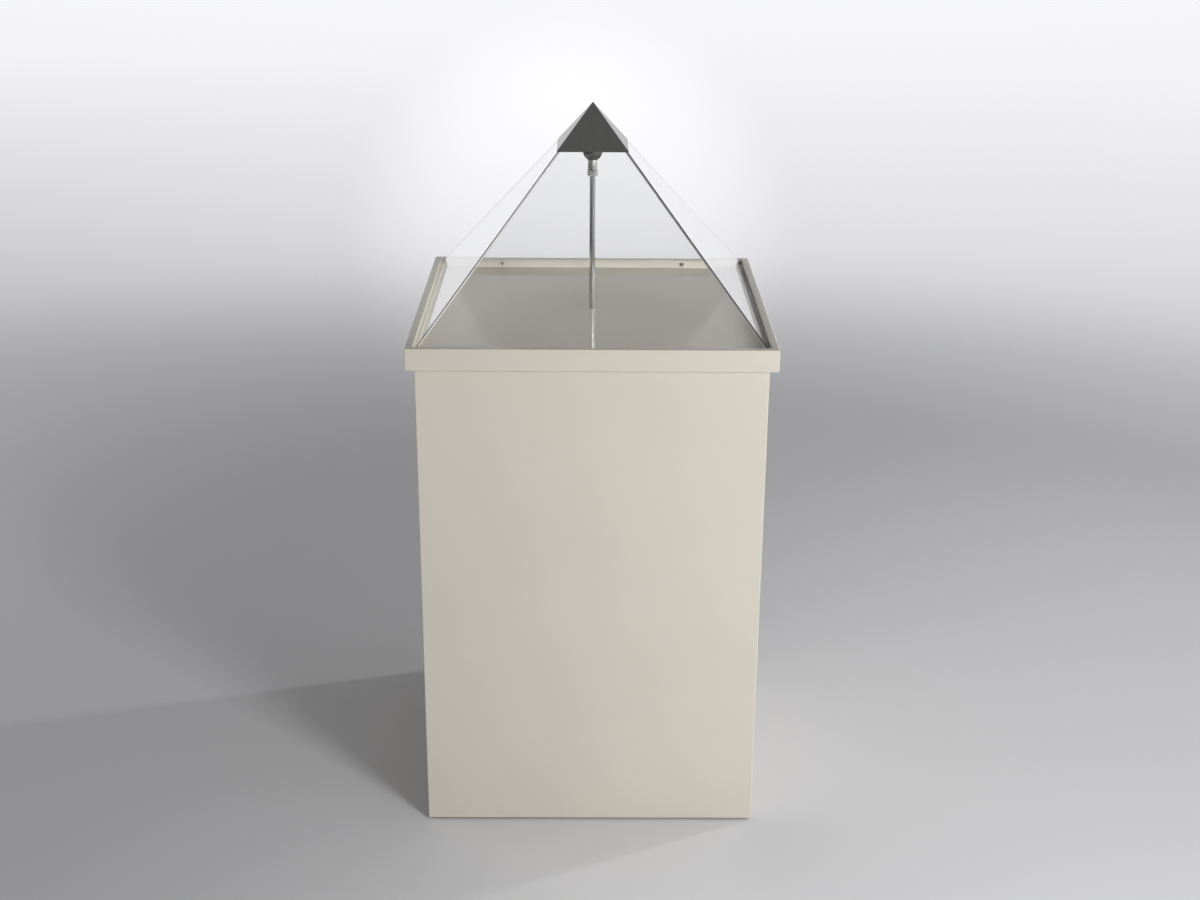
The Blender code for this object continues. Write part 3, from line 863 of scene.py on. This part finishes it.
def make_sleeve():
    """Collar under the bell, with a slimmer tail above and below it and the post's bore."""
    low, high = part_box("head_sleeve")
    outer = high.x
    tail = SLEEVE_TAIL_DIAMETER / 2.0
    bore = BORE_DIAMETER / 2.0
    collar_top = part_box("bell_seat")[0].z - GAP
    collar_bottom = collar_top - SLEEVE_COLLAR_HEIGHT
    profile = [
        (bore, high.z),
        (tail, high.z),
        (tail, collar_top),
        (outer, collar_top),
        (outer, collar_bottom),
        (tail, collar_bottom),
        (tail, low.z),
        (bore, low.z),
    ]
    mesh = turned_mesh("turned_sleeve", fillet(profile, SMALL_FILLET), is_ring=True)
    add_piece("turned_sleeve", mesh, (NICKEL,), "post_head", ["head_sleeve"])


def make_pad():
    """Rubber disc between the bell and the hood's block."""
    low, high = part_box("seat_pad")
    profile = [(0.0, high.z), (high.x, high.z), (high.x, low.z), (0.0, low.z)]
    mesh = turned_mesh("moulded_pad", fillet(profile, SMALL_FILLET))
    add_piece("moulded_pad", mesh, (RUBBER,), "post_head", ["seat_pad"])


def make_glides():
    """Nail-on glides: a disc with a soft edge under each batten."""
    disc_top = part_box("wall_front")[0].z - GAP
    pin = GLIDE_PIN_DIAMETER / 2.0
    for corner in CORNERS:
        name = f"moulded_glide_{corner}"
        low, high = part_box(f"foot_glide_{corner}")
        centre = (low + high) / 2.0
        disc = (high.x - low.x) / 2.0
        profile = [
            (0.0, high.z),
            (pin, high.z),
            (pin, disc_top),
            (disc, disc_top),
            (disc, low.z),
            (0.0, low.z),
        ]
        mesh = turned_mesh(name, fillet(profile, SMALL_FILLET))
        mesh.transform(Matrix.Translation((centre.x, centre.y, 0.0)))
        add_piece(name, mesh, (NYLON,), "plinth", [f"foot_glide_{corner}"])


def make_inserts():
    """Turned brass sleeves through the back strip."""
    for hand in HANDS:
        name = f"turned_insert_{hand}"
        low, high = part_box(f"screw_insert_{hand}")
        screw_low, screw_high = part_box(f"set_screw_{hand}")
        outer = (high.x - low.x) / 2.0
        inner = (screw_high.x - screw_low.x) / 2.0 + GAP
        half = (high.y - low.y) / 2.0
        profile = [(inner, half), (outer, half), (outer, -half), (inner, -half)]
        mesh = turned_mesh(name, fillet(profile, INSERT_FILLET), is_ring=True)
        lay = Matrix.Rotation(math.pi / 2.0, 4, "X")
        mesh.transform(Matrix.Translation((low + high) / 2.0) @ lay)
        add_piece(name, mesh, (BRASS,), "plinth", [f"screw_insert_{hand}"])


def eased_piece(node, body, material, edge):
    """A CAD node's own shape, welded, with softened edges and smooth round sides."""
    bm = bmesh.new()
    bm.from_mesh(nodes[node].data)
    bmesh.ops.remove_doubles(bm, verts=bm.verts, dist=WELD_DISTANCE)
    bmesh.ops.dissolve_limit(bm, angle_limit=FLAT_ANGLE, verts=bm.verts, edges=bm.edges)
    mesh = smooth_mesh(mesh_from(bm, f"eased_{node}"))
    piece = add_piece(f"eased_{node}", mesh, (material,), body, [node])
    ease_edges(piece, edge, segments=2)


def make_hardware():
    """Screws, washer and nuts, and the block in the hood's tip."""
    for hand in HANDS:
        eased_piece(f"set_screw_{hand}", "plinth", DULL_ZINC, HARDWARE_EDGE)
        for side in SIDES:
            eased_piece(f"deck_screw_{side}_{hand}", "plinth", ZINC, HARDWARE_EDGE)
    for node in ("post_washer", "post_nut"):
        eased_piece(node, "plinth", ZINC, HARDWARE_EDGE)
    eased_piece("clamp_nut", "nut", NICKEL, HARDWARE_EDGE)
    eased_piece("apex_block", "hood", BLACK_ACRYLIC, BLOCK_EDGE)


def add_sheets(part, rings, sheet, levels, mitre_material):
    """Four clear sheets of a square form, with the given material on their mitres; on the panels it
    paints shade along the outer edge.
    """
    tube = square_tube(f"{part}_form", rings, sheet)
    tube.data.materials.append(CLEAR_ACRYLIC)
    tube.data.materials.append(mitre_material)
    form_mesh = baked_mesh(tube, f"{part}_form")
    for side in SIDES:
        name = f"clear_{part}_{side}"
        mesh = mitred_side(form_mesh, name, side, levels, cut_material=1)
        node = f"{part}_{side}"
        piece = add_piece(name, mesh, (CLEAR_ACRYLIC, mitre_material), "hood", [node])
        ease_edges(piece, SHEET_EDGE, segments=1)


def make_hood():
    """Slanted panels and upright skirts of clear sheet, with sawn mitres on the skirts and mitres with
    painted shade on the panels.
    """
    skirt_low, skirt_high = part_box("hood_skirt_front")
    panel_low, panel_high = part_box("hood_panel_front")
    half = -skirt_low.y
    sheet = skirt_high.y - skirt_low.y
    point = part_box("rim_front")[1].z + HOOD_RISE
    slope = half / (point - panel_low.z)
    rings = [((point - z) * slope, z) for z in (panel_low.z - sheet, panel_high.z + sheet)]
    levels = ((panel_low.z, -1.0), (panel_high.z, 1.0))
    # Painted shade along the panels' mitres, dark at the outer edge
    mitre_shade = mitre_with_painted_shade("acrylic_mitre_painted_shade", point, slope, sheet)
    add_sheets("hood_panel", rings, sheet, levels, mitre_shade)
    add_sheets("hood_skirt", ((half, skirt_low.z), (half, skirt_high.z)), sheet, (), SAWN_ACRYLIC)


def dress(names, material):
    """Gives carried-over CAD nodes their finish."""
    for name in names:
        mesh = nodes[name].data
        mesh.materials.clear()
        mesh.materials.append(material)


def dress_rest():
    """Finishes of the CAD nodes that stay as they are."""
    dress(["deck_board"], DECK_PAINT)
    dress([f"corner_batten_{corner}" for corner in CORNERS], UPRIGHT_WOOD)
    for rail in ("base_rail", "deck_rail"):
        dress([f"{rail}_front", f"{rail}_back"], ACROSS_WOOD)
        dress([f"{rail}_left", f"{rail}_right"], DEEP_WOOD)
    dress(["clamp_collet"], NYLON)


# The whole scene
scene.view_settings.view_transform = "Standard"
make_camera()
make_lamps()
make_world()
make_floor()
make_carcass()
make_rims()
make_cap()
make_post()
make_bell()
make_sleeve()
make_pad()
make_glides()
make_inserts()
make_hardware()
make_hood()
dress_rest()
